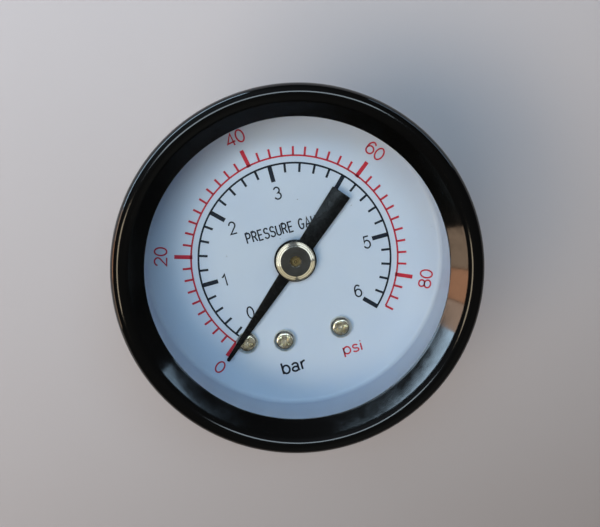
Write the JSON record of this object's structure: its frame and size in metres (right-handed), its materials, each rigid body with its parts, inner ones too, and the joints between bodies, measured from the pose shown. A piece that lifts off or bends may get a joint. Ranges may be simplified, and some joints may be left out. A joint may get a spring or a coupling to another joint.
{
  "type": "pressure gauge",
  "caption": "Small round dial pressure gauge with a black bezel, a flat lens, a bar and psi dial, a pointer driven by a Bourdon tube movement, and a threaded stem at the centre of its back.",
  "frame": {"origin": "centre of the threaded stem's end face, on the gauge's axis", "axes": "+Z along the stem and out through the dial, +Y towards the dial's 12 o'clock, +X towards 3 o'clock"},
  "size_m": [0.0426, 0.0426, 0.0444],
  "materials": {
    "gloss_black": "gloss black enamel",
    "case_black": "semi-gloss black enamel",
    "lens_clear": "clear flat lens",
    "gasket_rubber": "matt black seal",
    "dial_white": "satin pale blue-grey paint",
    "print_black": "black dial print",
    "print_red": "red dial print",
    "pointer_black": "satin black paint",
    "hub_nickel": "turned nickel plate",
    "screw_plated": "yellowish zinc plate",
    "brass": "machined brass",
    "bronze": "drawn bronze tube and spring strip",
    "steel": "bright turned steel"
  },
  "bodies": {
    "gauge_body": {"socket": "brass", "restrictor": "brass", "case": "case_black", "case_screw_1": "steel", "case_screw_2": "steel", "bezel": "gloss_black", "lens": "lens_clear", "lens_gasket": "gasket_rubber", "dial": "dial_white", "dial_screw_1": "screw_plated", "dial_screw_2": "screw_plated", "dial_screw_3": "screw_plated", "dial_post_1": "brass", "dial_post_2": "brass", "dial_post_3": "brass", "bourdon_tube": "bronze", "movement_back_plate": "brass", "movement_front_plate": "brass", "pillar_1": "brass", "pillar_2": "brass", "pillar_3": "brass", "plate_screw_1": "steel", "plate_screw_2": "steel", "plate_screw_3": "steel", "movement_screw_1": "steel", "movement_screw_2": "steel", "hairspring": "bronze", "hairspring_stud": "brass"},
    "pointer_spindle": {"pointer": "pointer_black", "pointer_hub": "hub_nickel", "pinion_shaft": "brass", "hairspring_collet": "brass"},
    "sector": {"sector_gear": "brass", "sector_arbor": "steel", "tail_pin": "steel"},
    "link": {"link": "brass"},
    "tube_tip": {"tube_tip": "brass", "tip_pin": "steel"}
  },
  "joints": [
    {"name": "pointer_turn", "type": "hinge", "parent": "gauge_body", "child": "pointer_spindle", "pos_m": [0, 0, 0.032], "axis": [0, 0, -1], "range_deg": [0, 266], "stiffness_Nm_per_rad": 0.00002},
    {"name": "sector_swing", "type": "hinge", "parent": "gauge_body", "child": "sector", "pos_m": [0.00896, -0.00582, 0.0251], "axis": [0, 0, 1], "range_deg": [0, 35.6]},
    {"name": "link_pivot", "type": "hinge", "parent": "sector", "child": "link", "pos_m": [0.01304, -0.00681, 0.026], "axis": [0, 0, -1], "range_deg": [0, 42.3]},
    {"name": "tube_uncoil", "type": "hinge", "parent": "gauge_body", "child": "tube_tip", "pos_m": [-0.00401, 0.00336, 0.025], "axis": [0, 0, 1], "range_deg": [0, 7.4], "deforming": ["bourdon_tube"]}
  ],
  "couplings": [
    {"joint": "sector_swing", "follows": "pointer_turn", "ratio": 0.13333},
    {"joint": "link_pivot", "follows": "pointer_turn", "ratio": 0.15856},
    {"joint": "tube_uncoil", "follows": "pointer_turn", "ratio": 0.027504}
  ]
}
